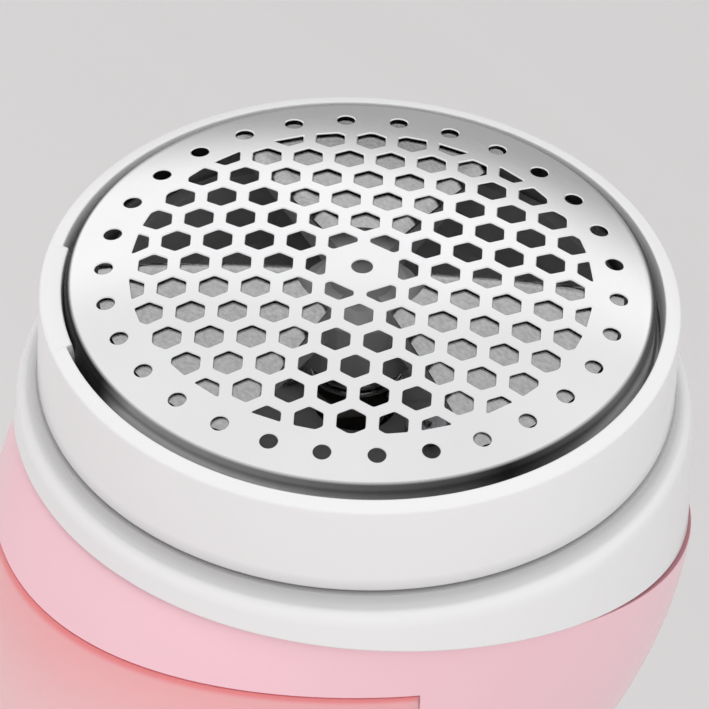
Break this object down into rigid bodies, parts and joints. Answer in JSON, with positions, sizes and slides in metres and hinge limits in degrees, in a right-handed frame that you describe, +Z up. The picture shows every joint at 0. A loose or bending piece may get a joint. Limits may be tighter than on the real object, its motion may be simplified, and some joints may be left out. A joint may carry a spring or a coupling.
{
  "type": "fabric shaver",
  "caption": "Handheld electric fabric shaver: perforated domed foil on a tilted round head, curved upright handle, pull-out lint bin, thumb slider and flat base.",
  "frame": {"origin": "middle of the foot pad's underside, on the surface the shaver stands on", "axes": "+Z up along the handle, -Y towards the side the head faces, +X to the right seen from the head's side"},
  "size_m": [0.0662, 0.0779, 0.1626],
  "materials": {
    "white_plastic": "gloss white ABS",
    "pale_pink_plastic": "satin gloss pale pink ABS",
    "coral_plastic": "gloss coral, slightly see-through",
    "grey_plastic": "moulded, fine texture",
    "dark_plastic": "matte",
    "rubber": "matte",
    "foil_steel": "polished sheet",
    "blade_steel": "ground",
    "zinc_steel": "zinc plated",
    "core_steel": "dark laminated core",
    "spring_steel": "drawn wire",
    "brass": "turned",
    "cell_sleeve": "shrink sleeve",
    "circuit_board": "solder mask",
    "lens": "frosted light guide",
    "red_wire": "insulation",
    "black_wire": "insulation"
  },
  "bodies": {
    "body": {"rear_shell": "pale_pink_plastic", "front_shell": "pale_pink_plastic", "base_cap": "white_plastic", "foot_pad": "rubber", "head_collar": "white_plastic", "cutter_chamber": "grey_plastic", "bin_seal": "rubber", "motor_can": "zinc_steel", "motor_end_cap": "dark_plastic", "motor_bush_front": "brass", "motor_bush_rear": "brass", "motor_magnet_1": "core_steel", "motor_magnet_2": "core_steel", "motor_screw_1": "zinc_steel", "motor_screw_2": "zinc_steel", "motor_sleeve": "rubber", "collar_screw_1": "zinc_steel", "collar_screw_2": "zinc_steel", "collar_screw_3": "zinc_steel", "shell_screw_1": "zinc_steel", "shell_screw_2": "zinc_steel", "shell_screw_3": "zinc_steel", "shell_screw_4": "zinc_steel", "interlock_spring": "spring_steel", "interlock_switch": "dark_plastic", "battery_cell": "cell_sleeve", "battery_tab_top": "zinc_steel", "battery_tab_bottom": "zinc_steel", "charging_board": "circuit_board", "charging_socket": "zinc_steel", "indicator_lens": "lens", "switch_body": "dark_plastic", "wire_battery_switch": "red_wire", "wire_switch_motor": "red_wire", "wire_battery_motor": "black_wire", "wire_board_battery": "black_wire"},
    "foil_assembly": {"shaving_foil": "foil_steel", "head_ring": "white_plastic", "foil_retainer": "grey_plastic"},
    "drive": {"motor_shaft": "blade_steel", "motor_armature": "core_steel", "drive_hub": "brass", "blade_spring": "spring_steel"},
    "blade_set": {"blade_carrier": "grey_plastic", "blade_1": "blade_steel", "blade_2": "blade_steel", "blade_3": "blade_steel"},
    "bin": {"lint_bin": "coral_plastic"},
    "slider": {"switch_slider": "white_plastic"},
    "pin": {"interlock_pin": "white_plastic"}
  },
  "joints": [
    {"name": "ring_twist", "type": "hinge", "parent": "body", "child": "foil_assembly", "pos_m": [0, -0.029, 0.144], "axis": [0, -0.7071, 0.7071], "range_deg": [0, 30]},
    {"name": "drive_spin", "type": "hinge", "parent": "body", "child": "drive", "pos_m": [0, -0.029, 0.144], "axis": [0, -0.7071, 0.7071], "continuous": true},
    {"name": "blade_float", "type": "slide", "parent": "drive", "child": "blade_set", "axis": [0, 0.7071, -0.7071], "range_m": [0, 0.0012], "stiffness_N_per_m": 400, "deforming": ["blade_spring"]},
    {"name": "bin_pull", "type": "slide", "parent": "body", "child": "bin", "axis": [0, -0.7071, -0.7071], "range_m": [0, 0.04]},
    {"name": "switch_slide", "type": "slide", "parent": "body", "child": "slider", "axis": [0, 0, 1], "range_m": [0, 0.005]},
    {"name": "pin_rise", "type": "slide", "parent": "body", "child": "pin", "axis": [0, -0.7071, 0.7071], "range_m": [0, 0.0012], "deforming": ["interlock_spring"]}
  ],
  "couplings": [
    {"joint": "pin_rise", "follows": "ring_twist", "m_per_rad": 0.0022918}
  ]
}
